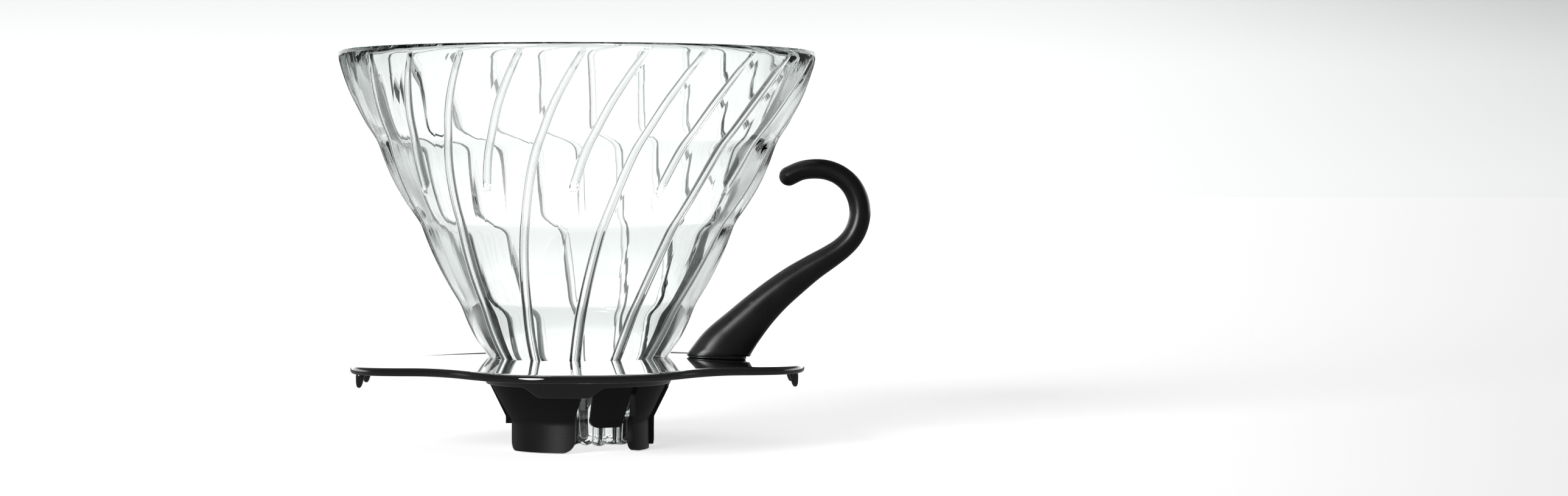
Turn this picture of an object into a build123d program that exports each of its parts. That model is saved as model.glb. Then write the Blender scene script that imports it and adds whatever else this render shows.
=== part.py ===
from build123d import *
import math
import os

os.makedirs("parts", exist_ok=True)

# A pour over dripper: a pressed glass cone with spiral ribs, held in a black
# plastic base with a centring leg ring under it and a hook handle beside it.
# Millimetres. +Z up, origin on the cone's axis in the plane of the leg ends.
# The handle points along +X. Angles are counted from +X, counter-clockwise.

# ---- driving dimensions ----------------------------------------------------
RIM_Z = 95.6            # top of the glass
RIM_R = 57.6            # outer radius at the rim
CONE_IN_TOP = (54.2, 94.6)      # inner cone, (radius, z)
CONE_IN_LOW = (10.5, 8.2)       # where the inner cone meets the outlet bore
OUTLET_R = 10.5         # outlet bore
OUTLET_OUT_R = 14.4     # outside of the outlet neck
OUTLET_LIP_Z = 1.3      # lower lip of the outlet
# outer tiers: (r, z) of the kinks, and the bulge point between them
TIERS = [
    ((57.6, 94.2), (54.05, 84.3), (47.9, 74.0)),
    ((47.9, 74.0), (44.15, 64.3), (37.8, 54.5)),
    ((37.8, 54.5), (34.35, 45.6), (28.1, 34.6)),
    ((28.1, 34.6), (25.35, 27.8), (21.15, 21.6)),
]
NECK_TOP = (14.4, 8.4)  # foot of the outer cone, where the neck begins

RIB_COUNT = 12          # long ribs, and as many short ones between them
RIB_H = 1.5             # rib height above the inner cone
RIB_W = 2.3             # rib width at its foot
# turn of a rib about the axis against height, (z, degrees)
RIB_TWIST = [(93.5, 0.0), (82.5, -7.5), (70.0, -14.6), (53.7, -22.0),
             (42.6, -26.0), (22.2, -31.0), (9.0, -33.0)]
RIB_SHORT_END = 63.5

PLATE_TIP = 54.4        # half width of the plate along X
PLATE_LOBE = 52.5       # half width along Y
PLATE_T = 1.9
SEAT_GAP = 0.2          # radial play between the glass and its seat
# outline of one quarter of the plate
PLATE_OUTLINE = [(54.4, 0.0), (54.2, 7.0), (52.7, 14.0), (48.7, 20.6),
                 (42.9, 25.2), (35.6, 29.4), (29.3, 35.2), (23.4, 42.2),
                 (17.4, 48.0), (9.5, 51.6), (0.0, 52.5)]
PEG_XY = (52.0, 10.4)
PEG_END_Z = 15.5

COLLAR_EDGE_Z = 15.7    # lower edge of the plate's collar
COLLAR_TAB_Z = 13.2     # lower edge of its three tabs
COLLAR_T = 0.7
COLLAR_TAB_AT = [-99.0, 21.0, 141.0]
COLLAR_TAB_SPAN = 42.0
HUB_SLOPE = 0.49        # radius per millimetre of height
HUB_R_AT_COLLAR = 21.4  # hub radius at the collar's edge
HUB_WALL = 1.8
HUB_TOP_Z = 19.2
HUB_KINK_Z = 8.0

LEG_R = 17.0
LEG_WALL = 1.9
LEG_AT = [-125.0, -5.0, 115.0]
LEG_SPAN = 68.6
LEG_CORNER = 2.7
FINGER_AT = [-65.0, 55.0, 175.0]
FINGER_SPAN = 31.0
FINGER_END_Z = 6.0
FINGER_CORNER = 2.0
FINGER_BARB = 1.15      # inward nose that steadies the glass neck
SLIT_TOP_Z = 16.2
KEY_FIN = (0.0, 1.2, 1.4)   # angle, height and width of the fin on one leg

HANDLE_W = 9.4          # across the hook, along Y
# centreline of the arm and hook: x, z, direction, half thickness
ARM = [
    (33.40, 22.00, 90.0, 7.30), (36.30, 25.60, 62.0, 6.15),
    (39.58, 28.99, 49.0, 5.25), (43.46, 33.02, 44.5, 4.55),
    (47.58, 36.81, 40.3, 4.05), (51.98, 40.27, 36.6, 3.66),
    (56.57, 43.47, 33.0, 3.15), (60.90, 46.18, 33.0, 2.78),
    (63.90, 48.35, 41.5, 2.62), (66.20, 50.85, 56.0, 2.60),
    (67.60, 53.80, 74.0, 2.58), (68.10, 57.00, 90.0, 2.56),
    (67.55, 60.25, 108.0, 2.54), (65.90, 63.40, 128.0, 2.50),
    (63.30, 65.75, 148.0, 2.44), (60.20, 67.05, 166.0, 2.42),
    (57.00, 67.35, 180.0, 2.38), (53.80, 66.90, 194.0, 2.32),
    (51.20, 65.90, 206.0, 2.30),
]
HOOK_BALL = (50.55, 65.50, 2.42)
FOOT_X = (26.3, 40.7)
FOOT_W = 10.4
FOOT_TOP_Z = 22.5
BOSS_X = (30.2, 36.6)
BOSS_R = 2.0
BOSS_END_Z = 19.0
SCREW_TIP_Z = 24.4
SCREW_R = 0.95
SCREW_HEAD_R = 2.5
SCREW_HEAD_T = 1.3


def cone_in_r(z):
    (r1, z1), (r0, z0) = CONE_IN_TOP, CONE_IN_LOW
    return r0 + (z - z0) * (r1 - r0) / (z1 - z0)


def twist(z):
    pts = sorted(RIB_TWIST)
    for (z0, a0), (z1, a1) in zip(pts[:-1], pts[1:]):
        if z0 <= z <= z1:
            return a0 + (a1 - a0) * (z - z0) / (z1 - z0)
    return pts[0][1] if z < pts[0][0] else pts[-1][1]


def polar(r, a):
    return (r * math.cos(math.radians(a)), r * math.sin(math.radians(a)))


def wedge(a0, a1, r=40.0):
    return [(0, 0), polar(r, a0), polar(r, (a0 + a1) / 2), polar(r, a1)]


def rib_section(z, h, w, angle):
    """Foot inside the wall, blunt nose towards the axis."""
    r = cone_in_r(z)
    pts = [(r + 0.7, -w / 2), (r + 0.7, w / 2), (r - 0.15 * h, w / 2),
           (r - h, w * 0.2), (r - h, -w * 0.2), (r - 0.15 * h, -w / 2)]
    ca, sa = math.cos(math.radians(angle)), math.sin(math.radians(angle))
    return [(x * ca - y * sa, x * sa + y * ca) for x, y in pts]


def oval(a, b, count=12, power=2.4):
    """Points of a slightly squared oval with half widths a and b."""
    pts = []
    for k in range(count):
        c = math.cos(2 * math.pi * k / count)
        s = math.sin(2 * math.pi * k / count)
        pts.append((math.copysign(a * abs(c) ** (2 / power), c),
                    math.copysign(b * abs(s) ** (2 / power), s)))
    return pts


# ---- glass cone ------------------------------------------------------------
# one long and one short rib, then repeated around the cone
with BuildPart() as rib_long:
    for z, h in [(93.4, 0.35), (90.0, 1.2), (82.5, RIB_H), (72.0, RIB_H),
                 (60.0, RIB_H), (48.0, RIB_H), (36.0, 1.4), (22.0, 1.2),
                 (9.4, 0.5)]:
        with BuildSketch(Plane.XY.offset(z)):
            Polygon(*rib_section(z, h, RIB_W, twist(z) - 90.0), align=None)
    loft()

with BuildPart() as rib_short:
    for z, h in [(93.4, 0.35), (90.0, 1.2), (82.5, RIB_H), (74.0, RIB_H),
                 (67.0, 1.35), (RIB_SHORT_END, 0.3)]:
        with BuildSketch(Plane.XY.offset(z)):
            Polygon(*rib_section(z, h, RIB_W, twist(z) - 75.0), align=None)
    loft()

with BuildPart() as glass_cone:
    with BuildSketch(Plane.XZ) as wall:
        with BuildLine():
            Line((OUTLET_R, OUTLET_LIP_Z), (OUTLET_OUT_R, OUTLET_LIP_Z))
            Line((OUTLET_OUT_R, OUTLET_LIP_Z), NECK_TOP)
            Line(NECK_TOP, TIERS[3][2])
            ThreePointArc(TIERS[3][2], TIERS[3][1], TIERS[3][0])
            ThreePointArc(TIERS[2][2], TIERS[2][1], TIERS[2][0])
            ThreePointArc(TIERS[1][2], TIERS[1][1], TIERS[1][0])
            ThreePointArc(TIERS[0][2], TIERS[0][1], TIERS[0][0])
            ThreePointArc(TIERS[0][0], (57.0, 95.3), (55.9, RIM_Z))
            ThreePointArc((55.9, RIM_Z), (54.75, 95.3), CONE_IN_TOP)
            Line(CONE_IN_TOP, CONE_IN_LOW)
            Line(CONE_IN_LOW, (OUTLET_R, OUTLET_LIP_Z))
        make_face()
    revolve(axis=Axis.Z)
    with PolarLocations(0, RIB_COUNT):
        add(rib_long.part)
    with PolarLocations(0, RIB_COUNT):
        add(rib_short.part)
glass_cone.part.label = "glass_cone"

# ---- base plate ------------------------------------------------------------
hub_r = lambda z: HUB_R_AT_COLLAR + (z - COLLAR_EDGE_Z) * HUB_SLOPE
glass_r = lambda z: TIERS[3][2][0] + (z - TIERS[3][2][1]) * (
    (TIERS[3][2][0] - NECK_TOP[0]) / (TIERS[3][2][1] - NECK_TOP[1]))
TOP_A = (glass_r(22.1) + SEAT_GAP, 22.1)
TOP_B = (24.6, 22.0)
TOP_C = (57.0, 20.4)

with BuildPart() as collar_tabs:
    with BuildSketch(Plane.XZ):
        with BuildLine():
            Polyline(
                (hub_r(COLLAR_TAB_Z) + 0.05, COLLAR_TAB_Z),
                (hub_r(COLLAR_TAB_Z) + COLLAR_T, COLLAR_TAB_Z),
                (hub_r(16.2) + COLLAR_T, 16.2),
                (hub_r(16.2) + 0.05, 16.2), close=True)
        make_face()
    revolve(axis=Axis.Z)
    with BuildSketch(Plane.XY.offset(10)):
        for a in COLLAR_TAB_AT:
            with BuildLine():
                Polyline(*wedge(a - COLLAR_TAB_SPAN / 2,
                                a + COLLAR_TAB_SPAN / 2), close=True)
            make_face()
    extrude(amount=10, mode=Mode.INTERSECT)

with BuildPart() as base_plate:
    # dished plate with its four-lobed outline
    with BuildSketch(Plane.XZ):
        with BuildLine():
            Polyline(
                TOP_A, TOP_B, TOP_C, (TOP_C[0], TOP_C[1] - PLATE_T),
                (24.3, 20.1), (22.0, HUB_TOP_Z),
                (glass_r(HUB_TOP_Z) + SEAT_GAP, HUB_TOP_Z), close=True)
        make_face()
    revolve(axis=Axis.Z)
    with BuildSketch(Plane.XY.offset(10)):
        with BuildLine():
            q = PLATE_OUTLINE
            ring = (q + [(-x, y) for x, y in reversed(q[:-1])]
                    + [(-x, -y) for x, y in q[1:]]
                    + [(x, -y) for x, y in reversed(q[1:-1])])
            Spline(*ring, periodic=True)
        make_face()
    extrude(amount=20, mode=Mode.INTERSECT)
    # collar that hides the top of the leg ring
    with BuildSketch(Plane.XZ):
        with BuildLine():
            Polyline(
                (hub_r(COLLAR_EDGE_Z) + 0.05, COLLAR_EDGE_Z),
                (hub_r(COLLAR_EDGE_Z) + COLLAR_T, COLLAR_EDGE_Z),
                (hub_r(20.5) + COLLAR_T, 20.5),
                (hub_r(20.5) + 0.05, 20.5),
                (hub_r(HUB_TOP_Z) + 0.05, HUB_TOP_Z), close=True)
        make_face()
    revolve(axis=Axis.Z)
    add(collar_tabs.part)
    # four small pegs under the two ends
    with BuildSketch(Plane.XY.offset(19.4)):
        with GridLocations(2 * PEG_XY[0], 2 * PEG_XY[1], 2, 2):
            Circle(0.85)
    extrude(amount=-(19.4 - PEG_END_Z), taper=5)
    # holes for the handle's two bosses
    with BuildSketch(Plane.XY.offset(15)):
        with Locations((BOSS_X[0], 0), (BOSS_X[1], 0)):
            Circle(BOSS_R + 0.08)
    extrude(amount=10, mode=Mode.SUBTRACT)
base_plate.part.label = "base_plate"

# ---- leg ring --------------------------------------------------------------
with BuildPart() as legs:
    with BuildSketch(Plane.XZ):
        with BuildLine():
            Polyline(
                (hub_r(SLIT_TOP_Z + 0.8) - HUB_WALL, SLIT_TOP_Z + 0.8),
                (hub_r(SLIT_TOP_Z + 0.8), SLIT_TOP_Z + 0.8),
                (hub_r(HUB_KINK_Z), HUB_KINK_Z), (LEG_R, HUB_KINK_Z - 0.7),
                (LEG_R, 0), (LEG_R - LEG_WALL, 0),
                (LEG_R - LEG_WALL, HUB_KINK_Z - 1.0), close=True)
        make_face()
    revolve(axis=Axis.Z)
    with BuildSketch(Plane.XY.offset(-1)):
        for a in LEG_AT:
            with BuildLine():
                Polyline(*wedge(a - LEG_SPAN / 2, a + LEG_SPAN / 2), close=True)
            make_face()
    extrude(amount=20, mode=Mode.INTERSECT)
    ends = [e for e in legs.edges().filter_by(GeomType.LINE)
            if abs(e.center().Z) < 0.01]
    fillet(ends, LEG_CORNER)

with BuildPart() as fingers:
    z = FINGER_END_Z
    with BuildSketch(Plane.XZ):
        with BuildLine():
            Polyline(
                (hub_r(SLIT_TOP_Z + 0.8) - HUB_WALL, SLIT_TOP_Z + 0.8),
                (hub_r(SLIT_TOP_Z + 0.8), SLIT_TOP_Z + 0.8),
                (hub_r(HUB_KINK_Z), HUB_KINK_Z), (hub_r(HUB_KINK_Z), z),
                (hub_r(HUB_KINK_Z) - HUB_WALL - FINGER_BARB, z),
                (hub_r(HUB_KINK_Z) - HUB_WALL - FINGER_BARB, z + 1.2),
                (hub_r(HUB_KINK_Z) - HUB_WALL, z + 2.4), close=True)
        make_face()
    revolve(axis=Axis.Z)
    with BuildSketch(Plane.XY.offset(-1)):
        for a in FINGER_AT:
            with BuildLine():
                Polyline(*wedge(a - FINGER_SPAN / 2, a + FINGER_SPAN / 2),
                         close=True)
            make_face()
    extrude(amount=20, mode=Mode.INTERSECT)
    ends = [e for e in fingers.edges().filter_by(GeomType.LINE)
            if abs(e.center().Z - FINGER_END_Z) < 0.01]
    fillet(ends, FINGER_CORNER)

with BuildPart() as leg_ring:
    # closed upper band of the cone
    with BuildSketch(Plane.XZ):
        with BuildLine():
            Polyline(
                (hub_r(SLIT_TOP_Z) - HUB_WALL, SLIT_TOP_Z),
                (hub_r(SLIT_TOP_Z), SLIT_TOP_Z),
                (hub_r(HUB_TOP_Z), HUB_TOP_Z),
                (hub_r(HUB_TOP_Z) - HUB_WALL, HUB_TOP_Z), close=True)
        make_face()
    revolve(axis=Axis.Z)
    add(legs.part)
    add(fingers.part)
    # key fin down the leg under the handle
    a, h, w = KEY_FIN
    with BuildSketch(Plane.XZ.offset(-w / 2)):
        with BuildLine():
            Polyline(
                (LEG_R - 0.8, 0.6), (LEG_R + h, 0.6),
                (LEG_R + h, HUB_KINK_Z),
                (hub_r(12.9) + 0.75, 12.9), (hub_r(12.9) - 0.8, 12.9),
                (hub_r(HUB_KINK_Z) - 0.8, HUB_KINK_Z), close=True)
        make_face()
    extrude(amount=w)
leg_ring.part.label = "leg_ring"

# ---- handle ----------------------------------------------------------------
with BuildPart() as handle:
    # arm and hook, an oval section carried along the centreline
    for i, (x, z, d, t) in enumerate(ARM):
        s = i / (len(ARM) - 1)
        half_w = HANDLE_W / 2 * (1.0 - 0.42 * s)
        n = (math.cos(math.radians(d)), 0, math.sin(math.radians(d)))
        u = (math.sin(math.radians(d)), 0, -math.cos(math.radians(d)))
        with BuildSketch(Plane(origin=(x, 0, z), x_dir=u, z_dir=n)):
            with BuildLine():
                Spline(*oval(t, half_w), periodic=True)
            make_face()
    loft()
    with Locations((HOOK_BALL[0], 0, HOOK_BALL[1])):
        Sphere(HOOK_BALL[2])
    # foot
    cx = (FOOT_X[0] + FOOT_X[1]) / 2
    with BuildSketch(Plane.XY.offset(17.0)):
        with Locations((cx, 0)):
            RectangleRounded(FOOT_X[1] - FOOT_X[0], FOOT_W, 4.6)
    extrude(amount=FOOT_TOP_Z - 17.0)
    # underside follows the plate's top
    with BuildSketch(Plane.XZ):
        with BuildLine():
            g = 0.03
            Polyline((0, 10), (TOP_C[0] + 10, 10),
                     (TOP_C[0] + 10, TOP_C[1] + g - 10 * (TOP_B[1] - TOP_C[1])
                      / (TOP_C[0] - TOP_B[0])),
                     (TOP_B[0], TOP_B[1] + g), (0, TOP_B[1] + g), close=True)
        make_face()
    revolve(axis=Axis.Z, mode=Mode.SUBTRACT)
    # bosses through the plate, with pilot holes for the screws
    with BuildSketch(Plane.XY.offset(BOSS_END_Z)):
        with Locations((BOSS_X[0], 0), (BOSS_X[1], 0)):
            Circle(BOSS_R)
    extrude(amount=4.2)
    with BuildSketch(Plane.XY.offset(BOSS_END_Z)):
        with Locations((BOSS_X[0], 0), (BOSS_X[1], 0)):
            Circle(SCREW_R + 0.05)
    extrude(amount=SCREW_TIP_Z + 0.4 - BOSS_END_Z, mode=Mode.SUBTRACT)
handle.part.label = "handle"

# ---- handle screws ---------------------------------------------------------
with BuildPart() as handle_screws:
    head_z = BOSS_END_Z - SCREW_HEAD_T
    with BuildSketch(Plane.XY.offset(head_z)):
        with Locations((BOSS_X[0], 0), (BOSS_X[1], 0)):
            Circle(SCREW_HEAD_R)
    extrude(amount=SCREW_HEAD_T)
    chamfer(handle_screws.edges().group_by(Axis.Z)[0], 0.35)
    with BuildSketch(Plane.XY.offset(BOSS_END_Z)):
        with Locations((BOSS_X[0], 0), (BOSS_X[1], 0)):
            Circle(SCREW_R)
    extrude(amount=SCREW_TIP_Z - BOSS_END_Z)
    # cross recess
    with BuildSketch(Plane.XY.offset(head_z)):
        for x in BOSS_X:
            with Locations((x, 0)):
                Rectangle(2.4, 0.55)
                Rectangle(0.55, 2.4)
    extrude(amount=0.8, mode=Mode.SUBTRACT)
handle_screws.part.label = "handle_screws"

export_step(glass_cone.part, "parts/glass_cone.step")
export_step(base_plate.part, "parts/base_plate.step")
export_step(leg_ring.part, "parts/leg_ring.step")
export_step(handle.part, "parts/handle.step")
export_step(handle_screws.part, "parts/handle_screws.step")
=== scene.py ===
import math

import bmesh
import bpy
import numpy as np
from mathutils import Matrix, Vector


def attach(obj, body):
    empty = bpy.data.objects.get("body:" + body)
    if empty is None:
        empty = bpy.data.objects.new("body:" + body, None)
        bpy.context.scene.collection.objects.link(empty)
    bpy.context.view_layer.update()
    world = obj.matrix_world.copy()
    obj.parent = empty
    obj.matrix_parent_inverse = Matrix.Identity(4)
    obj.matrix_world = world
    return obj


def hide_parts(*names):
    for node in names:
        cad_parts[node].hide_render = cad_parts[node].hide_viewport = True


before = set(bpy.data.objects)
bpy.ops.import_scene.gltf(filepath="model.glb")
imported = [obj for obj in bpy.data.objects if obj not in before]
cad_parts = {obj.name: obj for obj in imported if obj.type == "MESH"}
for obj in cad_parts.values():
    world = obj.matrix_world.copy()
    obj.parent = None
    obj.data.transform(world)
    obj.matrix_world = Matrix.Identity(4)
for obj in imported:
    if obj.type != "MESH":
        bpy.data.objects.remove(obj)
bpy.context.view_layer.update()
MM = 0.001

# ---------------------------------------------------------------- mesh helpers


def smoothstep(a, b, x):
    t = np.clip((np.asarray(x, float) - a) / (b - a), 0.0, 1.0)
    return t * t * (3 - 2 * t)


def catmull(points, n):
    """Centripetal-looking smooth curve through the rows of points, n samples evenly spaced by length."""
    p = np.asarray(points, float)
    q = np.vstack([2 * p[0] - p[1], p, 2 * p[-1] - p[-2]])
    out = []
    for i in range(1, len(q) - 2):
        t = np.linspace(0, 1, 24, endpoint=False)[:, None]
        a, b, c, d = q[i - 1], q[i], q[i + 1], q[i + 2]
        out.append(0.5 * (2 * b + (c - a) * t + (2 * a - 5 * b + 4 * c - d) * t**2
                          + (3 * b - a - 3 * c + d) * t**3))
    out = np.vstack(out + [p[-1:]])
    s = np.r_[0, np.cumsum(np.linalg.norm(np.diff(out[:, :2], axis=0), axis=1))]
    want = np.linspace(0, s[-1], n)
    return np.column_stack([np.interp(want, s, out[:, k]) for k in range(out.shape[1])])


def grid_faces(rows, cols, close_rows=False, close_cols=True, start=0):
    """Quads of a rows x cols grid whose vertex index is start + row * cols + col."""
    r = np.arange(rows if close_rows else rows - 1)
    c = np.arange(cols if close_cols else cols - 1)
    R, C = np.meshgrid(r, c, indexing="ij")
    R2, C2 = (R + 1) % rows, (C + 1) % cols
    f = np.stack([R * cols + C, R * cols + C2, R2 * cols + C2, R2 * cols + C], -1)
    return (f.reshape(-1, 4) + start).tolist()


def cap_faces(cols, start, flip=False):
    """One n-gon over a ring of cols vertices."""
    idx = list(range(start, start + cols))
    return [idx[::-1] if flip else idx]


class Build:
    """Collects grids in millimetres into one mesh."""

    def __init__(self):
        self.v, self.f, self.n = [], [], 0
        self.attr = {}

    def grid(self, pts, close_rows=False, close_cols=True, caps=(False, False)):
        pts = np.asarray(pts, float)
        rows, cols = pts.shape[:2]
        start = self.n
        self.v.append(pts.reshape(-1, 3))
        self.f += grid_faces(rows, cols, close_rows, close_cols, start)
        self.n += rows * cols
        for i, cap in enumerate(caps):
            if cap:
                ring = start if i == 0 else start + (rows - 1) * cols
                centre = pts[0 if i == 0 else -1].mean(0)
                self.v.append(centre[None])
                k = self.n
                self.n += 1
                for c in range(cols):
                    self.f.append([ring + c, ring + (c + 1) % cols, k])
        return start

    def make(self, name, smooth=True, weld=0.0, sharp=None):
        me = bpy.data.meshes.new(name)
        me.from_pydata((np.vstack(self.v) * MM).tolist(), [], self.f)
        bm = bmesh.new()
        bm.from_mesh(me)
        if weld:
            bmesh.ops.remove_doubles(bm, verts=bm.verts, dist=weld * MM)
        bmesh.ops.recalc_face_normals(bm, faces=bm.faces)
        for face in bm.faces:
            face.smooth = smooth
        if sharp is not None:
            for e in bm.edges:
                if len(e.link_faces) == 2 and e.calc_face_angle(0) > math.radians(sharp):
                    e.smooth = False
        bm.to_mesh(me)
        bm.free()
        ob = bpy.data.objects.new(name, me)
        bpy.context.scene.collection.objects.link(ob)
        return ob


def on_axis(theta_deg, r, z):
    """Millimetre points from the angle seen from above: 0 towards the front (-Y), positive towards +X."""
    a = np.radians(theta_deg)
    return np.stack([r * np.sin(a), -r * np.cos(a), z + 0 * r * a], -1)


# ---------------------------------------------------------------- node helpers


def material(name):
    m = bpy.data.materials.new(name)
    m.use_nodes = True
    nt = m.node_tree
    p = next(n for n in nt.nodes if n.type == "BSDF_PRINCIPLED")
    return m, nt, p


def noise(nt, scale, detail=3.0, rough=0.5, coord="Object"):
    tc = nt.nodes.new("ShaderNodeTexCoord")
    n = nt.nodes.new("ShaderNodeTexNoise")
    n.inputs["Scale"].default_value = scale
    n.inputs["Detail"].default_value = detail
    n.inputs["Roughness"].default_value = rough
    nt.links.new(tc.outputs[coord], n.inputs["Vector"])
    return n.outputs["Fac"]


def ramp(nt, fac, stops):
    r = nt.nodes.new("ShaderNodeValToRGB")
    r.color_ramp.elements[0].position = stops[0][0]
    r.color_ramp.elements[0].color = (*stops[0][1], 1)
    r.color_ramp.elements[1].position = stops[-1][0]
    r.color_ramp.elements[1].color = (*stops[-1][1], 1)
    for pos, col in stops[1:-1]:
        e = r.color_ramp.elements.new(pos)
        e.color = (*col, 1)
    nt.links.new(fac, r.inputs["Fac"])
    return r.outputs["Color"]


def span(nt, fac, lo, hi, a=0.3, b=0.7):
    m = nt.nodes.new("ShaderNodeMapRange")
    m.inputs["From Min"].default_value = a
    m.inputs["From Max"].default_value = b
    m.inputs["To Min"].default_value = lo
    m.inputs["To Max"].default_value = hi
    nt.links.new(fac, m.inputs["Value"])
    return m.outputs["Result"]


def bump(nt, p, height, strength, distance):
    b = nt.nodes.new("ShaderNodeBump")
    b.inputs["Strength"].default_value = strength
    b.inputs["Distance"].default_value = distance
    nt.links.new(height, b.inputs["Height"])
    nt.links.new(b.outputs["Normal"], p.inputs["Normal"])


# ---------------------------------------------------------------- materials


def clear_glass():
    m, nt, p = material("clear_glass")
    # the faintest cloudiness of pressed glass
    cloud = ramp(nt, noise(nt, 35, 2), [(0.3, (0.985, 0.99, 0.985)), (0.7, (1, 1, 1))])
    # painted shade: the rib flanks are darkened toward near-black through the base colour, drawing dark lines on top of
    # the ribs' own refraction
    flank = nt.nodes.new("ShaderNodeAttribute")
    flank.attribute_name = "flank"
    painted_flank_shade = ramp(nt, flank.outputs["Fac"], [(0.0, (1, 1, 1)), (1.0, (0.006, 0.013, 0.011))])
    mul = nt.nodes.new("ShaderNodeVectorMath")
    mul.operation = "MULTIPLY"
    nt.links.new(cloud, mul.inputs[0])
    nt.links.new(painted_flank_shade, mul.inputs[1])
    nt.links.new(mul.outputs[0], p.inputs["Base Color"])
    p.inputs["Roughness"].default_value = 0.0
    p.inputs["Transmission Weight"].default_value = 1.0
    p.inputs["IOR"].default_value = 1.474
    p.inputs["Specular IOR Level"].default_value = 0.5
    # slow waviness left by the mould
    bump(nt, p, noise(nt, 70, 0.0), 0.02, 0.0004)
    va = nt.nodes.new("ShaderNodeVolumeAbsorption")
    va.inputs["Color"].default_value = (0.64, 0.745, 0.70, 1)
    va.inputs["Density"].default_value = 15.0
    out = next(n for n in nt.nodes if n.type == "OUTPUT_MATERIAL")
    nt.links.new(va.outputs["Volume"], out.inputs["Volume"])
    return m


def black_plastic(name, lo, hi, r0, r1, grain, strength, spec=0.5):
    m, nt, p = material(name)
    nt.links.new(ramp(nt, noise(nt, 22, 4), [(0.3, lo), (0.7, hi)]), p.inputs["Base Color"])
    nt.links.new(span(nt, noise(nt, 140, 4), r0, r1), p.inputs["Roughness"])
    bump(nt, p, noise(nt, grain, 4, 0.6), strength, 0.0001)
    p.inputs["IOR"].default_value = 1.49
    p.inputs["Specular IOR Level"].default_value = spec
    if spec >= 0.5:
        p.inputs["Coat Weight"].default_value = 1.0
        p.inputs["Coat Roughness"].default_value = 0.02
    return m


def screw_steel():
    m, nt, p = material("screw_steel")
    nt.links.new(ramp(nt, noise(nt, 400, 4), [(0.3, (0.42, 0.42, 0.43)), (0.7, (0.60, 0.60, 0.61))]),
                 p.inputs["Base Color"])
    nt.links.new(span(nt, noise(nt, 900, 3), 0.22, 0.38), p.inputs["Roughness"])
    p.inputs["Metallic"].default_value = 1.0
    bump(nt, p, noise(nt, 2500, 2), 0.15, 0.00005)
    return m


GLASS = clear_glass()
GLOSS = black_plastic("black_plastic_gloss", (0.003, 0.003, 0.0033), (0.005, 0.005, 0.0054),
                      0.03, 0.06, 900, 0.03, 0.5)
HANDLE = black_plastic("black_plastic_handle", (0.0035, 0.0035, 0.0037), (0.0055, 0.0055, 0.0058),
                       0.24, 0.33, 2400, 0.10, 0.32)
SATIN = black_plastic("black_plastic_satin", (0.0035, 0.0035, 0.0037), (0.0055, 0.0055, 0.0058),
                      0.34, 0.46, 2600, 0.16, 0.2)
STEEL = screw_steel()

# ---------------------------------------------------------------- glass cone

IN_TOP, IN_LOW = (54.2, 94.6), (10.5, 8.2)
IN_SLOPE = (IN_TOP[0] - IN_LOW[0]) / (IN_TOP[1] - IN_LOW[1])
TWIST_Z = np.array([-2.0, 9.0, 22.2, 32.0, 42.6, 53.7, 70.0, 82.5, 93.5, 99.0])
TWIST_A = np.array([-37.5, -34.8, -31.8, -28.3, -24.3, -20.0, -12.7, -5.6, 1.9, 5.6])
_tz = np.linspace(-2, 99, 405)
_ta = np.interp(_tz, TWIST_Z, TWIST_A)
_k = np.exp(-0.5 * (np.arange(-30, 31) / 10.0) ** 2)
_k /= _k.sum()
_ta = np.convolve(np.pad(_ta, 30, mode="reflect", reflect_type="odd"), _k, "valid")


def twist(z):
    return np.interp(z, _tz, _ta)


def arc_points(a, b, c, n):
    """Points of the circle through a, b, c, from a to c."""
    (ax, ay), (bx, by), (cx, cy) = a, b, c
    d = 2 * (ax * (by - cy) + bx * (cy - ay) + cx * (ay - by))
    ux = ((ax**2 + ay**2) * (by - cy) + (bx**2 + by**2) * (cy - ay) + (cx**2 + cy**2) * (ay - by)) / d
    uy = ((ax**2 + ay**2) * (cx - bx) + (bx**2 + by**2) * (ax - cx) + (cx**2 + cy**2) * (bx - ax)) / d
    r = math.hypot(ax - ux, ay - uy)
    t0, t1 = math.atan2(ay - uy, ax - ux), math.atan2(cy - uy, cx - ux)
    t = np.linspace(t0, t1, n)
    return np.column_stack([ux + r * np.cos(t), uy + r * np.sin(t)])


# outer profile, neck to rim
prof = [np.array([[14.4, 1.9], [14.4, 4.0], [14.4, 7.0], [14.4, 8.4]])]
prof.append(np.array([[17.8, 15.0], [21.15, 21.6]]))
for a, b, c in [((21.15, 21.6), (25.35, 27.8), (28.1, 34.6)), ((28.1, 34.6), (34.35, 45.6), (37.8, 54.5)),
                ((37.8, 54.5), (44.15, 64.3), (47.9, 74.0)), ((47.9, 74.0), (54.05, 84.3), (57.6, 94.2))]:
    prof.append(arc_points(a, b, c, 40)[1:])
prof = np.vstack(prof)
OZ = np.linspace(1.9, 93.6, 1200)
OR = np.interp(OZ, prof[:, 1], prof[:, 0])
kern = np.exp(-0.5 * (np.arange(-45, 46) / 15.0) ** 2)
kern /= kern.sum()
OR = np.convolve(np.pad(OR, 45, mode="reflect", reflect_type="odd"), kern, "valid")


def cone_in(z):
    return np.where(z > IN_LOW[1], IN_LOW[0] + (z - IN_LOW[1]) * IN_SLOPE, IN_LOW[0])


def rib_shape(u):
    """Cross-section of a rib: rounded crown, steep flanks, small fillet at the foot."""
    u = np.clip(np.abs(u), 0, 1)
    return (1 - 0.14 * (u / 0.6) ** 2 * (u < 0.6) - 0.14 * (u >= 0.6)) * (1 - smoothstep(0.56, 0.96, u))


def half_width(z):
    return np.interp(z, [0, 22, 60, 95], [1.25, 1.32, 1.12, 1.0])


def long_height(z):
    return 1.2 * np.interp(z, [0, 9, 20, 84, 90, 93, 94.2], [0.6, 0.8, 1.0, 1.0, 0.72, 0.28, 0.0])


def short_height(z):
    return 1.15 * np.interp(z, [84, 90, 93, 94.2], [1.0, 0.72, 0.28, 0.0]) * smoothstep(62.9, 64.9, z)


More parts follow.
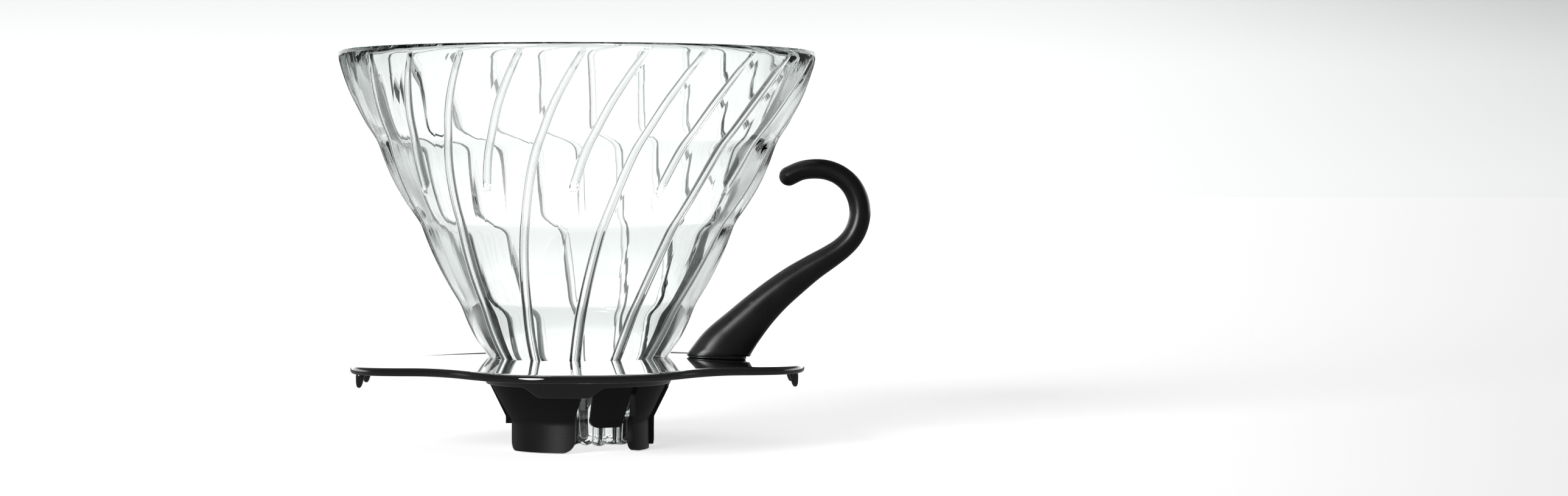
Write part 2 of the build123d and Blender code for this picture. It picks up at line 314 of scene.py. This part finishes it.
RIB_U = np.array([0, 0.2, 0.4, 0.53, 0.60, 0.66, 0.72, 0.78, 0.84, 0.90, 0.96, 1.04])


def rib_angles(z, r):
    """Angles (degrees) of one row's samples, and the rib rise at each of them."""
    half = r * math.radians(15.0)
    w = min(float(half_width(z)), 0.46 * half)
    side = np.concatenate([w * RIB_U, [w + (half - 2 * w) * t for t in (0.28, 0.5, 0.72)],
                           half - w * RIB_U[::-1]])[:-1]  # up to, not including, the next centre
    rise = np.concatenate([float(long_height(z)) * rib_shape(RIB_U), [0, 0, 0],
                           float(short_height(z)) * rib_shape(RIB_U[::-1])])
    n = len(side)
    ang, up = [], []
    for k in range(12):
        # forward from the long rib's centre to the short rib's, then on to the next long one
        ang += list(30.0 * k + np.degrees(side / r))
        up += list(rise[:n])
        back = np.concatenate([[half], side[:0:-1]])
        ang += list(30.0 * k + 30.0 - np.degrees(back / r))
        up += list(np.concatenate([[rise[-1]], rise[n - 1:0:-1]]))
    return np.array(ang) + float(twist(z)), np.array(up)


def build_glass():
    rows, steep = [], []
    lip = lambda th, z: 0.55 * (1 - np.cos(np.radians((th - twist(z)) * 24))) / 2 + 0.25 * (
        1 - np.cos(np.radians((th - twist(z)) * 12))) / 2
    # outside, neck to rim
    for z in np.concatenate([[1.75, 2.0, 2.6, 3.5, 5.0, 6.5, 7.6], np.arange(8.4, 93.4, 0.75)]):
        th, _ = rib_angles(z, float(cone_in(z)))
        r = np.full_like(th, np.interp(z, OZ, OR))
        zz = z + lip(th, z) * smoothstep(4.5, 1.9, z)
        rows.append(on_axis(th, r, zz))
        steep.append(np.zeros(len(th)))
    # rim
    for r, z in [(57.52, 94.0), (57.60, 94.5), (57.60, 94.9), (57.54, 95.15), (57.40, 95.36), (57.18, 95.50),
                 (56.9, 95.57), (56.3, 95.6), (55.5, 95.58), (55.0, 95.46), (54.62, 95.2), (54.36, 94.8)]:
        th, _ = rib_angles(z, float(cone_in(z)))
        rows.append(on_axis(th, np.full_like(th, r), np.full_like(th, z)))
        steep.append(np.zeros(len(th)))
    # inside, rim to outlet
    nr, nz = -1 / math.hypot(1, IN_SLOPE), IN_SLOPE / math.hypot(1, IN_SLOPE)
    inner = np.concatenate([np.arange(94.3, 90.0, -0.3), np.arange(90.0, 66.4, -0.8), np.arange(66.4, 62.4, -0.3),
                            np.arange(62.4, 9.0, -0.8), [8.6, 8.2, 7.8, 7.0, 6.0, 4.8, 3.6, 2.8, 2.2, 1.85]])
    for z in inner:
        th, up = rib_angles(z, float(cone_in(z)))
        k = float(smoothstep(6.5, 9.5, z))
        r = cone_in(z) + up * (nr * k - (1 - k))
        zz = z + up * nz * k + lip(th, z) * smoothstep(4.5, 1.9, z)
        rows.append(on_axis(th, r, zz))
        d = np.abs(np.roll(up, -1) - np.roll(up, 1)) / (np.radians(np.roll(th, -1) - np.roll(th, 1)) % (2 * np.pi)
                                                        * float(cone_in(z)))
        side = (np.roll(up, -1) < np.roll(up, 1)) & (up > 0.05)
        d = np.where(side, np.maximum(d, 1.1 + 0.45 * smoothstep(0.02, 0.25, d)), d)
        d = d + np.interp(z, [30, 62], [0.55, 0.0]) * (up > 0.02) * (d > 0.35)
        steep.append(smoothstep(1.1, 2.2, d) * np.interp(z, [0, 20, 45, 70, 94], [0.8, 1.0, 0.92, 0.80, 0.75]))
    # lip
    for dr, z in [(0.35, 1.5), (0.9, 1.32), (1.9, 1.3), (2.9, 1.32), (3.55, 1.5)]:
        th, up = rib_angles(1.85, float(cone_in(1.85)))
        inner_r = cone_in(1.85) - up
        r = inner_r + (14.4 - inner_r) * dr / 3.9
        rows.append(on_axis(th, r, z + lip(th, 1.9)))
        steep.append(np.zeros(len(th)))
    b = Build()
    b.grid(np.array(rows), close_rows=True)
    ob = b.make("glass_cone_visual")
    # how steep the rib's side is at each point, which sets how dark the painted shade on the rib flanks is
    at = ob.data.attributes.new("flank", "FLOAT", "POINT")
    at.data.foreach_set("value", np.concatenate(steep).astype(np.float32))
    ob.data.materials.append(GLASS)
    return ob


glass = build_glass()
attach(glass, "cone")
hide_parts("glass_cone")

# ---------------------------------------------------------------- base plate

OUTLINE = [(54.4, 0.0), (54.2, 7.0), (52.7, 14.0), (48.7, 20.6), (42.9, 25.2), (35.6, 29.4), (29.3, 35.2),
           (23.4, 42.2), (17.4, 48.0), (9.5, 51.6), (0.0, 52.5)]
PLATE_T = 1.9
EDGE_Z, TAB_Z, COLLAR_T = 15.7, 13.2, 0.7
HUB_TOP = 19.2


def hub_r(z):
    return 21.4 + (z - 15.7) * 0.49


def plate_outline(n):
    q = OUTLINE
    ring = q + [(-x, y) for x, y in reversed(q[:-1])] + [(-x, -y) for x, y in q[1:]] + [(x, -y) for x, y in reversed(q[1:-1])]
    p = np.array(ring)
    m = len(p)
    out = []
    for i in range(m):
        a, b, c, d = p[i - 1], p[i], p[(i + 1) % m], p[(i + 2) % m]
        t = np.linspace(0, 1, 40, endpoint=False)[:, None]
        out.append(0.5 * (2 * b + (c - a) * t + (2 * a - 5 * b + 4 * c - d) * t**2 + (3 * b - a - 3 * c + d) * t**3))
    out = np.vstack(out)
    closed = np.vstack([out, out[:1]])
    s = np.r_[0, np.cumsum(np.linalg.norm(np.diff(closed, axis=0), axis=1))]
    want = np.linspace(0, s[-1], n, endpoint=False)
    o = np.column_stack([np.interp(want, s, closed[:, k]) for k in (0, 1)])
    for _ in range(3):
        o = 0.25 * np.roll(o, 1, 0) + 0.5 * o + 0.25 * np.roll(o, -1, 0)
    return o


def top_z(r):
    return np.interp(r, [20.0, 23.6, 24.6, 26.0, 57.0], [22.19, 22.05, 21.99, 21.93, 20.4])


def build_plate():
    n = 960
    o = plate_outline(n)
    t = np.roll(o, -1, 0) - np.roll(o, 1, 0)
    t /= np.linalg.norm(t, axis=1)[:, None]
    nrm = np.column_stack([t[:, 1], -t[:, 0]])  # outwards, outline runs counter-clockwise
    phi = np.arctan2(o[:, 1], o[:, 0])
    theta = np.degrees(phi) + 90.0  # from the front, positive towards +X
    e = np.column_stack([np.cos(phi), np.sin(phi)])
    rows = []

    def at(p, z):
        rows.append(np.column_stack([p, z]))

    hole_top, hole_low = 21.55, 20.15
    # top, from the hole out
    at(e * (hole_top - 0.10), np.full(n, 21.95))
    at(e * (hole_top + 0.05), np.full(n, 22.07))
    at(e * (hole_top + 0.30), top_z(np.full(n, hole_top + 0.3)))
    inset = o - nrm * 1.15
    ri = np.linalg.norm(inset, axis=1)
    ei = inset / ri[:, None]
    for s in np.concatenate([np.linspace(0.0, 1.0, 44)[1:]]):
        r0 = hole_top + 0.3
        r = r0 + (ri - r0) * s
        d = e * (1 - s) + ei * s
        d /= np.linalg.norm(d, axis=1)[:, None]
        at(d * r[:, None], top_z(r))
    for d, dz in [(0.80, 0.04), (0.52, 0.13), (0.30, 0.26), (0.14, 0.43), (0.04, 0.64), (0.0, 0.86), (0.0, 1.20),
                  (0.02, 1.42), (0.12, 1.66), (0.30, 1.82), (0.60, PLATE_T)]:
        p = o - nrm * d
        at(p, top_z(np.linalg.norm(p, axis=1)) - dz)
    # underside, back to the collar
    inner_r = hub_r(20.0) + COLLAR_T + 0.35
    p0 = o - nrm * 0.75
    r0 = np.linalg.norm(p0, axis=1)
    for s in np.linspace(0, 1, 30)[:-1]:
        r = r0 + (inner_r - r0) * s
        d = ei * (1 - s) + e * s
        d /= np.linalg.norm(d, axis=1)[:, None]
        at(d * r[:, None], top_z(r) - PLATE_T)
    # collar outside, its lower edge dips at three tabs
    dip = np.zeros(n)
    for c in (-9.0, 111.0, 231.0):
        x = (theta - c + 180) % 360 - 180
        dip = np.maximum(dip, smoothstep(-27.5, -15.5, x) * smoothstep(27.5, 15.5, x))
    edge = EDGE_Z + (TAB_Z - EDGE_Z) * dip
    for s, off in [(0.0, 0.0), (0.06, -0.06), (0.3, 0.0), (0.55, 0.0), (0.8, 0.0), (0.93, 0.0)]:
        z = 19.9 + (edge - 19.9) * s
        r = hub_r(z) + COLLAR_T + (0.18 if s == 0 else 0.0)
        at(e * r[:, None], z)
    for dr, dz in [(COLLAR_T - 0.04, 0.06), (COLLAR_T - 0.16, 0.0), (0.22, 0.0), (0.06, 0.06)]:
        at(e * (hub_r(edge) + dr)[:, None], edge + dz)
    for s in (0.2, 0.5, 0.8, 1.0):
        z = edge + (HUB_TOP - edge) * s
        at(e * (hub_r(z) + 0.05)[:, None], z)
    at(e * 21.6, np.full(n, HUB_TOP))
    at(e * (hole_low + 0.15), np.full(n, HUB_TOP))
    at(e * (hole_low + 0.02), np.full(n, HUB_TOP + 0.15))
    at(e * (0.5 * (hole_low + hole_top) - 0.03), np.full(n, 20.5))
    b = Build()
    b.grid(np.array(rows), close_rows=True)
    # four blade-shaped pegs under the wing tips
    for sx in (1, -1):
        for sy in (1, -1):
            ring = []
            m = 20
            a = np.linspace(0, 2 * np.pi, m, endpoint=False)
            for z, w, l, lean in [(19.2, 1.12, 1.25, 0.0), (18.0, 1.02, 1.15, 0.02), (17.2, 0.95, 1.10, 0.08),
                                  (16.4, 0.82, 1.0, 0.18), (15.8, 0.66, 0.88, 0.24), (15.42, 0.44, 0.66, 0.26),
                                  (15.28, 0.18, 0.3, 0.27)]:
                ring.append(np.column_stack([sx * (51.6 + lean) + w * np.cos(a), sy * 10.4 + l * np.sin(a), np.full(m, z)]))
            b.grid(np.array(ring), caps=(True, True))
    ob = b.make("base_plate_visual")
    ob.data.materials.append(GLOSS)
    return ob


plate = build_plate()
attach(plate, "base")
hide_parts("base_plate")

# ---------------------------------------------------------------- leg ring

LEG_R, KINK_Z = 17.0, 8.0


def wall_r(z, leg):
    """Outer radius of the ring's wall: a cone, then a straight leg, with a soft kink between."""
    cone = hub_r(z)
    if not leg:
        return np.maximum(cone, hub_r(KINK_Z) - 0.1)
    d = cone - LEG_R - 0.12
    return LEG_R + 0.5 * (d + np.sqrt(d * d + 0.10)) * smoothstep(6.4, 8.6, z) + 0 * z


def tongue(b, left, right, z_low, corner_l, corner_r, leg, thick, barb=0.0):
    """A curved wall piece between the angles left(z) and right(z), rounded at its lower corners; its edges are rounded
    afterwards by the ring's bevel.
    """
    top = 16.9
    nx, nz = 44, 46
    u = 0.5 - 0.5 * np.cos(np.linspace(0, np.pi, nx))
    outer, inner = [], []
    for j in range(nz):
        v = 1 - (1 - j / (nz - 1)) ** 1.0
        row_o, row_i = [], []
        for i in range(nx):
            # lower edge with rounded corners, in millimetres along the arc
            z0 = z_low
            width = math.radians(right(z_low) - left(z_low)) * LEG_R
            s = u[i] * width
            if s < corner_l:
                z0 = z_low + corner_l - math.sqrt(max(corner_l**2 - (corner_l - s) ** 2, 0))
            if width - s < corner_r:
                z0 = max(z0, z_low + corner_r - math.sqrt(max(corner_r**2 - (corner_r - (width - s)) ** 2, 0)))
            z = z0 + (top - z0) * v
            th = left(z) + (right(z) - left(z)) * u[i]
            row_o.append((th, float(wall_r(np.array(z), leg)), z))
            rin = min(float(wall_r(np.array(z), leg)) - thick, 99)
            if barb:
                rin -= barb * float(smoothstep(z_low + 2.6, z_low + 1.2, z))
            row_i.append((th, rin, z))
        outer.append(row_o)
        inner.append(row_i)
    O, I = np.array(outer), np.array(inner)
    po = on_axis(O[..., 0], O[..., 1], O[..., 2])
    pi = on_axis(I[..., 0], I[..., 1], I[..., 2])
    start = b.n
    b.v.append(po.reshape(-1, 3))
    b.v.append(pi.reshape(-1, 3))
    b.n += 2 * nx * nz
    idx = np.arange(nx * nz).reshape(nz, nx) + start
    off = nx * nz
    for j in range(nz - 1):
        for i in range(nx - 1):
            a, c, d, e = int(idx[j, i]), int(idx[j, i + 1]), int(idx[j + 1, i + 1]), int(idx[j + 1, i])
            b.f.append([a, c, d, e])
            b.f.append([a + off, e + off, d + off, c + off])
    loop = [int(x) for x in idx[0, :]] + [int(x) for x in idx[1:, -1]] + [int(x) for x in idx[-1, -2::-1]] + [int(x) for x in idx[-2:0:-1, 0]]
    for a, c in zip(loop, loop[1:] + loop[:1]):
        b.f.append([a, c, c + off, a + off])


def build_ring():
    b = Build()
    for c in (-35.0, 85.0, 205.0):
        left = lambda z, c=c: c - 34.1 - float(np.clip((z - 8.2) * 1.55, 0, 8.6))
        right = lambda z, c=c: c + 33.3 + float(np.clip((z - 8.2) * 0.95, 0, 4.8))
        tongue(b, left, right, 0.0, 2.4, 3.2, True, 1.9)
    for c in (24.4, 144.4, 264.4):
        left = lambda z, c=c: c - 14.3 + 0.12 * (z - 8)
        right = lambda z, c=c: c + 14.3 - 0.12 * (z - 8)
        tongue(b, left, right, 6.0, 2.1, 2.1, False, 1.7, 1.1)
    # closed band under the plate
    n = 240
    th = np.linspace(0, 360, n, endpoint=False)
    rows = []
    for dr, z in [(0.0, 16.25), (0.0, 17.5), (0.0, HUB_TOP - 0.15), (-0.12, HUB_TOP), (-1.68, HUB_TOP), (-1.8, HUB_TOP - 0.12),
                  (-1.8, 17.5), (-1.8, 16.25), (-1.65, 16.1), (-0.15, 16.1)]:
        rows.append(on_axis(th, np.full(n, float(hub_r(z)) + dr), np.full(n, z)))
    b.grid(np.array(rows), close_rows=True)
    ob = b.make("leg_ring_visual", sharp=50)
    ob.data.materials.append(SATIN)
    bev = ob.modifiers.new("soft_edges", "BEVEL")
    bev.width = 0.32 * MM
    bev.segments = 3
    bev.limit_method = "ANGLE"
    bev.angle_limit = math.radians(50)
    bev.harden_normals = False
    return ob


ring = build_ring()
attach(ring, "base")
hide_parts("leg_ring")


def build_fin():
    """The key fin that runs down the leg under the handle."""
    b = Build()
    w = 0.62
    line = [(16.6, 0.9, 18.05), (16.6, 2.0, 18.2), (16.6, 5.0, 18.2), (16.6, 7.6, 18.25), (16.9, 8.6, 18.75),
            (17.8, 10.5, 19.7), (18.7, 12.6, 20.75), (19.6, 14.6, 21.72), (20.1, 15.6, 21.9)]
    rows = []
    for r0, z, r1 in line:
        ring_ = []
        for x, y in [(r0, -w), (r1 - 0.35, -w), (r1 - 0.10, -w * 0.72), (r1, -w * 0.3), (r1, w * 0.3), (r1 - 0.10, w * 0.72),
                     (r1 - 0.35, w), (r0, w)]:
            ring_.append((x, y, z))
        rows.append(ring_)
    b.grid(np.array(rows), caps=(True, True))
    ob = b.make("leg_key_fin", sharp=60)
    ob.data.materials.append(SATIN)
    return ob


fin = build_fin()
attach(fin, "base")

# ---------------------------------------------------------------- handle

ARM = [
    (33.40, 22.18, 90.0, 7.30), (34.70, 23.50, 77.0, 6.88), (36.50, 25.75, 61.0, 6.10), (39.58, 28.99, 49.0, 5.25),
    (43.46, 33.02, 44.5, 4.55), (47.58, 36.81, 40.3, 4.05), (51.98, 40.27, 36.6, 3.66), (56.57, 43.47, 33.0, 3.15),
    (60.90, 46.18, 33.0, 2.80), (63.90, 48.35, 41.5, 2.64), (66.20, 50.85, 56.0, 2.60), (67.60, 53.80, 74.0, 2.58),
    (68.10, 57.00, 90.0, 2.56), (67.55, 60.25, 108.0, 2.54), (65.90, 63.40, 128.0, 2.50), (63.30, 65.75, 148.0, 2.44),
    (60.20, 67.05, 166.0, 2.42), (57.00, 67.35, 180.0, 2.38), (53.80, 66.90, 194.0, 2.32), (50.85, 65.60, 210.0, 2.36),
]


def oval_ring(cx, cz, direction, t, w, m=72, power=2.35):
    a = np.linspace(0, 2 * np.pi, m, endpoint=False)
    c, s = np.cos(a), np.sin(a)
    u = np.sign(c) * np.abs(c) ** (2 / power) * t
    v = np.sign(s) * np.abs(s) ** (2 / power) * w
    d = math.radians(direction)
    return np.column_stack([cx + u * math.sin(d), v, cz - u * math.cos(d)])


def build_handle():
    b = Build()
    arm = catmull(ARM, 150)
    rows = []
    total = len(arm)
    for i, (x, z, d, t) in enumerate(arm):
        s = i / (total - 1)
        w = 4.75 * (1 - 0.44 * s) + 0.25 * max(0, 1 - s / 0.08)
        p = 2.6 - 0.5 * s
        if i == 0:  # rounded lip at the arm's base
            rows.append(oval_ring(x, z, d, t - 0.55, w - 0.55, power=p))
            rows.append(oval_ring(x, z + 0.02, d, t - 0.2, w - 0.2, power=p))
            rows.append(oval_ring(x, z + 0.12, d, t - 0.04, w - 0.04, power=p))
            rows.append(oval_ring(x, z + 0.32, d, t, w, power=p))
            continue
        if i < 3:
            continue
        rows.append(oval_ring(x, z, d, t, w, power=p))
    # round tip
    x, z, d, t = arm[-1]
    w = 4.75 * 0.56
    for k in np.linspace(0.12, 0.985, 12):
        a = k * math.pi / 2
        f = math.cos(a)
        dd = math.radians(d)
        rows.append(oval_ring(x + 2.35 * math.sin(a) * math.cos(dd), z + 2.35 * math.sin(a) * math.sin(dd), d, t * f, w * f,
                              power=2.1))
    b.grid(np.array(rows), caps=(True, True))
    # foot on the plate, its underside follows the plate's slope
    m = 72
    cx = 33.5

    def foot_ring(inset, f):
        r = oval_ring(cx, 0, 90.0, 7.05 - inset, 5.10 - inset, m=m, power=3.2)
        low = top_z(np.hypot(r[:, 0], r[:, 1])) + 0.03
        r[:, 2] = low + (22.30 - low) * f
        return r

    foot = [foot_ring(0.30, 0.0), foot_ring(0.06, 0.10), foot_ring(0.0, 0.28), foot_ring(0.0, 0.72),
            foot_ring(0.06, 0.86), foot_ring(0.30, 0.95), foot_ring(0.60, 1.0)]
    b.grid(np.array(foot), caps=(True, True))
    # bosses through the plate
    for bx in (30.2, 36.6):
        a = np.linspace(0, 2 * np.pi, 36, endpoint=False)
        rows = []
        for r, z in [(2.0, 22.0), (2.0, 19.2), (1.85, 19.02), (1.5, 19.0)]:
            rows.append(np.column_stack([bx + r * np.cos(a), r * np.sin(a), np.full(36, z)]))
        b.grid(np.array(rows), caps=(True, True))
    ob = b.make("handle_visual")
    ob.data.materials.append(HANDLE)
    return ob


handle = build_handle()
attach(handle, "base")
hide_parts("handle")

# screws keep their CAD shape
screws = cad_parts["handle_screws"]
screws.data.materials.clear()
screws.data.materials.append(STEEL)

# ---------------------------------------------------------------- stage, light, camera


def math_node(nt, op, a, b=None, c=None, clamp=False):
    m = nt.nodes.new("ShaderNodeMath")
    m.operation = op
    m.use_clamp = clamp
    for i, v in enumerate((a, b, c)):
        if v is None:
            continue
        if isinstance(v, (int, float)):
            m.inputs[i].default_value = v
        else:
            nt.links.new(v, m.inputs[i])
    return m.outputs[0]


def step(nt, x, a, b, lo=0.0, hi=1.0):
    m = nt.nodes.new("ShaderNodeMapRange")
    m.interpolation_type = "SMOOTHSTEP"
    m.inputs["From Min"].default_value = a
    m.inputs["From Max"].default_value = b
    m.inputs["To Min"].default_value = lo
    m.inputs["To Max"].default_value = hi
    nt.links.new(x, m.inputs["Value"])
    return m.outputs["Result"]


def four_boxes(nt, x, y):
    """1 towards four broad soft boxes, 0 towards the black flags between them."""
    x2, y2 = math_node(nt, "MULTIPLY", x, x), math_node(nt, "MULTIPLY", y, y)
    h2 = math_node(nt, "MAXIMUM", math_node(nt, "ADD", x2, y2), 1e-6)
    c2 = math_node(nt, "DIVIDE", math_node(nt, "SUBTRACT", y2, x2), h2)
    c4 = math_node(nt, "SUBTRACT", math_node(nt, "MULTIPLY", math_node(nt, "MULTIPLY", c2, c2), 2.0), 1.0)
    return step(nt, c4, -0.95, -0.45)


WHITE = 1.04


def build_floor():
    b = Build()
    n = 96
    th = np.linspace(0, 360, n, endpoint=False)
    rows = [on_axis(th, np.full(n, r), np.zeros(n)) for r in (0.5, 60, 150, 300, 600, 1200, 2400, 4800, 9600)]
    b.grid(np.array(rows), caps=(True, False))
    ob = b.make("floor")
    m, nt, p = material("floor_pale")
    nt.links.new(ramp(nt, noise(nt, 3, 2), [(0.3, (0.895, 0.895, 0.895)), (0.7, (0.905, 0.905, 0.905))]),
                 p.inputs["Base Color"])
    p.inputs["Roughness"].default_value = 0.95
    p.inputs["Specular IOR Level"].default_value = 0.0
    # the sweep is lit from within like a light table, a little less towards the right
    tc = nt.nodes.new("ShaderNodeTexCoord")
    off = nt.nodes.new("ShaderNodeVectorMath")
    off.operation = "SUBTRACT"
    nt.links.new(tc.outputs["Object"], off.inputs[0])
    off.inputs[1].default_value = (0.0, -0.78, 0.0)
    unit = nt.nodes.new("ShaderNodeVectorMath")
    unit.operation = "NORMALIZE"
    nt.links.new(off.outputs[0], unit.inputs[0])
    sx = nt.nodes.new("ShaderNodeSeparateXYZ")
    nt.links.new(unit.outputs[0], sx.inputs[0])
    nt.links.new(step(nt, sx.outputs[0], 0.09, 0.36, 0.67, 0.43), p.inputs["Emission Strength"])
    p.inputs["Emission Color"].default_value = (1, 1, 1, 1)
    # seen through the glass the floor is a flat glow, brighter further out, with painted shade in the sectors of the
    # room's black flags
    sp = nt.nodes.new("ShaderNodeSeparateXYZ")
    nt.links.new(tc.outputs["Object"], sp.inputs[0])
    boxes = four_boxes(nt, sp.outputs[0], sp.outputs[1])
    far = step(nt, math_node(nt, "ADD", math_node(nt, "MULTIPLY", sp.outputs[0], sp.outputs[0]),
                             math_node(nt, "MULTIPLY", sp.outputs[1], sp.outputs[1])), 0.01, 0.09)
    lp = nt.nodes.new("ShaderNodeLightPath")
    dark = math_node(nt, "MULTIPLY", math_node(nt, "SUBTRACT", 1.0, boxes), far)
    dark = math_node(nt, "MULTIPLY", dark, lp.outputs["Is Transmission Ray"])
    # painted light and shade: the floor's glow as seen through the glass, dimmed in the flag sectors
    black = nt.nodes.new("ShaderNodeEmission")
    black.inputs["Color"].default_value = (0.97, 1.0, 0.99, 1)
    reach = math_node(nt, "SQRT", math_node(nt, "ADD", math_node(nt, "MULTIPLY", sp.outputs[0], sp.outputs[0]),
                                            math_node(nt, "MULTIPLY", sp.outputs[1], sp.outputs[1])))
    away = step(nt, reach, 0.12, 0.95, 0.93, 1.17)
    nt.links.new(math_node(nt, "MULTIPLY", away, math_node(nt, "SUBTRACT", 1.0, math_node(nt, "MULTIPLY", dark, 0.35))),
                 black.inputs["Strength"])
    mix = nt.nodes.new("ShaderNodeMixShader")
    nt.links.new(lp.outputs["Is Transmission Ray"], mix.inputs[0])
    nt.links.new(p.outputs[0], mix.inputs[1])
    nt.links.new(black.outputs[0], mix.inputs[2])
    # painted dark reflection: in reflections on shiny surfaces the floor is only a dim glow, like a black cloth
    dim_floor_reflection = nt.nodes.new("ShaderNodeEmission")
    dim_floor_reflection.inputs["Strength"].default_value = 0.16
    nt.links.new(ramp(nt, noise(nt, 3, 2), [(0.3, (0.95, 0.95, 0.95)), (0.7, (1, 1, 1))]), dim_floor_reflection.inputs["Color"])
    deep = math_node(nt, "LESS_THAN", lp.outputs["Transmission Depth"], 0.5)
    mix2 = nt.nodes.new("ShaderNodeMixShader")
    nt.links.new(math_node(nt, "MULTIPLY", lp.outputs["Is Glossy Ray"], deep), mix2.inputs[0])
    nt.links.new(mix.outputs[0], mix2.inputs[1])
    nt.links.new(dim_floor_reflection.outputs[0], mix2.inputs[2])
    out = next(n for n in nt.nodes if n.type == "OUTPUT_MATERIAL")
    nt.links.new(mix2.outputs[0], out.inputs["Surface"])
    ob.data.materials.append(m)
    ob.location.z = -0.0002
    return ob


floor = build_floor()


def build_world():
    w = bpy.data.worlds.new("studio")
    w.use_nodes = True
    nt = w.node_tree
    nt.nodes.clear()
    out = nt.nodes.new("ShaderNodeOutputWorld")
    tc = nt.nodes.new("ShaderNodeTexCoord")
    sep = nt.nodes.new("ShaderNodeSeparateXYZ")
    nt.links.new(tc.outputs["Generated"], sep.inputs[0])
    x, y, z = sep.outputs
    mul = lambda a, b: math_node(nt, "MULTIPLY", a, b)
    add = lambda a, b: math_node(nt, "ADD", a, b)
    lp = nt.nodes.new("ShaderNodeLightPath")
    above0 = lambda v: math_node(nt, "GREATER_THAN", v, 0.5)

    boxes = four_boxes(nt, x, y)
    low = step(nt, z, 0.80, 0.55)  # darker above the boxes
    back = step(nt, y, 0.80, 0.93)
    # straight through the glass
    through = add(mul(mul(boxes, low), 1.17 - 0.72), 0.72)
    # light that was turned back inside the glass
    up_down = step(nt, math_node(nt, "ABSOLUTE", z), 0.12, 0.38)
    far_side = math_node(nt, "GREATER_THAN", lp.outputs["Transmission Depth"], 2.5)
    inside = add(mul(mul(back, low), 1.15), add(mul(up_down, 0.75), add(mul(far_side, 0.55), 0.03)))
    # mirrored by a surface
    half = step(nt, y, 0.1, 0.6)
    mirrored = add(mul(mul(half, step(nt, z, 0.40, 0.22)), 1.5), 0.10)
    g = above0(lp.outputs["Glossy Depth"])
    t = above0(lp.outputs["Transmission Depth"])

    def mixf(f, a, b):
        return add(mul(a, math_node(nt, "SUBTRACT", 1.0, f)), mul(b, f))

    level = mixf(g, through, mixf(t, mirrored, inside))
    level = mixf(lp.outputs["Is Diffuse Ray"], level, add(mul(x, 0.0), 0.12))
    env = nt.nodes.new("ShaderNodeBackground")
    env.inputs["Color"].default_value = (1, 1, 1, 1)
    nt.links.new(level, env.inputs["Strength"])
    # what the camera sees past the object: white, a little grey high up and to the right
    right = step(nt, x, 0.09, 0.36)
    zpos = math_node(nt, "MAXIMUM", z, 0.0)
    drop = mul(right, add(mul(math_node(nt, "MINIMUM", zpos, 0.08), 3.4), 0.23))
    top = step(nt, z, 0.030, 0.062, 0.0, 0.13)
    seen_level = math_node(nt, "SUBTRACT", math_node(nt, "SUBTRACT", WHITE, drop), top)
    seen = nt.nodes.new("ShaderNodeBackground")
    seen.inputs["Color"].default_value = (0.995, 1.0, 1.003, 1)
    nt.links.new(seen_level, seen.inputs["Strength"])
    mix = nt.nodes.new("ShaderNodeMixShader")
    nt.links.new(lp.outputs["Is Camera Ray"], mix.inputs[0])
    nt.links.new(env.outputs[0], mix.inputs[1])
    nt.links.new(seen.outputs[0], mix.inputs[2])
    nt.links.new(mix.outputs[0], out.inputs["Surface"])
    bpy.context.scene.world = w


build_world()


def sun(name, direction, angle, strength):
    d = bpy.data.lights.new(name, "SUN")
    d.angle, d.energy = math.radians(angle), strength
    o = bpy.data.objects.new(name, d)
    o.rotation_mode = "QUATERNION"
    o.rotation_quaternion = Vector(direction).to_track_quat("-Z", "Y")
    bpy.context.scene.collection.objects.link(o)
    return o


# broad soft light from the upper left front
sun("key", (0.52, 0.81, -0.27), 28.0, 3.3)

# eye 780 mm in front of the axis, 65.5 mm above the leg ends
D, EYE, PX = 780.0, 65.5, 6.81
f_px = PX * D * 0.998
yaw = math.atan((1288.0 - 950.0) / f_px)
pitch = math.atan((407.5 - 290.0) / f_px)
cam_data = bpy.data.cameras.new("camera")
cam_data.sensor_width = 36.0
cam_data.lens = 36.0 * f_px / 2576.0
cam_data.clip_start, cam_data.clip_end = 0.05, 20.0
cam = bpy.data.objects.new("camera", cam_data)
bpy.context.scene.collection.objects.link(cam)
AZ = math.radians(1.0)
cam.location = (D * MM * math.sin(AZ), -D * MM * math.cos(AZ), EYE * MM)
yaw -= AZ
look = Vector((math.sin(yaw) * math.cos(pitch), math.cos(yaw) * math.cos(pitch), -math.sin(pitch)))
cam.rotation_mode = "QUATERNION"
cam.rotation_quaternion = look.to_track_quat("-Z", "Y")
bpy.context.scene.camera = cam

scene = bpy.context.scene
scene.view_settings.view_transform = "Standard"
scene.view_settings.look = "None"
scene.cycles.max_bounces = 24
scene.cycles.transmission_bounces = 20
scene.cycles.glossy_bounces = 10
scene.cycles.diffuse_bounces = 3
scene.cycles.volume_bounces = 0
